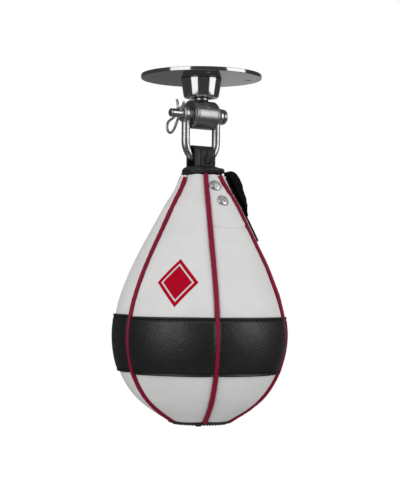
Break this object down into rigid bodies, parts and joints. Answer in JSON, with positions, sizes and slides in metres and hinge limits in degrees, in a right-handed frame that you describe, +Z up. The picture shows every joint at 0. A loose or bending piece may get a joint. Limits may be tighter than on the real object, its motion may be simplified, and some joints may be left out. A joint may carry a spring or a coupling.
{
  "type": "speed bag with ball swivel",
  "caption": "Teardrop leather speed bag hanging by a strap from a shackle and bearing barrel on a ball swivel under a round flange plate.",
  "frame": {"origin": "centre of the flange plate's top face, where it meets the ceiling or platform board", "axes": "+Z up out of the flange plate's top face; X along the clevis pin with its head at +X; the bag hangs along -Z"},
  "size_m": [0.1778, 0.1782, 0.3572],
  "materials": {
    "brushed_flange": "finely turned and polished stainless steel",
    "polished_shackle": "tumbled bright zinc plating",
    "bright_steel": "ground bright steel",
    "bronze": "oiled sintered bronze",
    "acetal": "natural acetal",
    "white_leather": "smooth white leather with a fine grain",
    "band_leather": "black pebbled leather with a low sheen",
    "black_leather": "thick waxed black leather",
    "red_piping": "deep red leather piping",
    "lace_cord": "black waxed flat-braided lace",
    "rivet_chrome": "nickel-plated dome",
    "valve_rubber": "black moulded rubber",
    "latex": "natural latex"
  },
  "bodies": {
    "mount": {"flange_plate": "brushed_flange", "socket_housing": "brushed_flange", "thrust_pad": "acetal"},
    "seat": {"ball_seat": "bronze"},
    "swivel": {"pivot_ball": "bright_steel", "swivel_barrel": "brushed_flange", "stem_nut": "bright_steel", "bearing_outer_race_left": "bright_steel", "bearing_outer_race_right": "bright_steel", "bearing_shield_left": "bright_steel", "bearing_shield_right": "bright_steel"},
    "ball_trains": {"bearing_balls_left": "bronze", "bearing_balls_right": "bronze"},
    "shackle": {"shackle": "polished_shackle", "bearing_inner_race_left": "bright_steel", "bearing_inner_race_right": "bright_steel", "washer_left": "bright_steel", "washer_right": "bright_steel", "spacer_sleeve": "bright_steel"},
    "pin": {"clevis_pin": "bright_steel", "hairpin_clip": "bright_steel"},
    "bag": {"hanger_strap": "black_leather", "strap_facing": "black_leather", "collar": "black_leather", "panel_1": "white_leather", "panel_2": "white_leather", "panel_3": "white_leather", "panel_4": "white_leather", "panel_5": "white_leather", "panel_6": "white_leather", "band_1": "band_leather", "band_2": "band_leather", "band_3": "band_leather", "band_4": "band_leather", "band_5": "band_leather", "band_6": "band_leather", "piping_1": "red_piping", "piping_2": "red_piping", "piping_3": "red_piping", "piping_4": "red_piping", "piping_5": "red_piping", "piping_6": "red_piping", "bottom_cap": "black_leather", "valve": "valve_rubber", "bladder": "latex", "rivet_front_upper": "rivet_chrome", "rivet_front_lower": "rivet_chrome", "rivet_back_upper": "rivet_chrome", "rivet_back_lower": "rivet_chrome", "lace_placket": "black_leather", "lace": "lace_cord", "lace_flap": "black_leather"}
  },
  "joints": [
    {"name": "swivel_spin", "type": "hinge", "parent": "mount", "child": "seat", "pos_m": [0, 0, -0.0154], "axis": [0, 0, 1], "continuous": true},
    {"name": "swivel_tilt", "type": "hinge", "parent": "seat", "child": "swivel", "pos_m": [0, 0, -0.0154], "axis": [0, 1, 0], "range_deg": [-9, 9]},
    {"name": "shackle_swing", "type": "hinge", "parent": "swivel", "child": "shackle", "pos_m": [0, 0, -0.041], "axis": [1, 0, 0], "range_deg": [-55, 55]},
    {"name": "bearing_roll", "type": "hinge", "parent": "swivel", "child": "ball_trains", "pos_m": [0, 0, -0.041], "axis": [1, 0, 0], "range_deg": [-25, 25]},
    {"name": "pin_turn", "type": "hinge", "parent": "shackle", "child": "pin", "pos_m": [0, 0, -0.041], "axis": [1, 0, 0], "continuous": true},
    {"name": "bag_swing", "type": "hinge", "parent": "shackle", "child": "bag", "pos_m": [0, 0, -0.084], "axis": [1, 0, 0], "range_deg": [-15, 15]}
  ],
  "couplings": [
    {"joint": "bearing_roll", "follows": "shackle_swing", "ratio": 0.4}
  ]
}
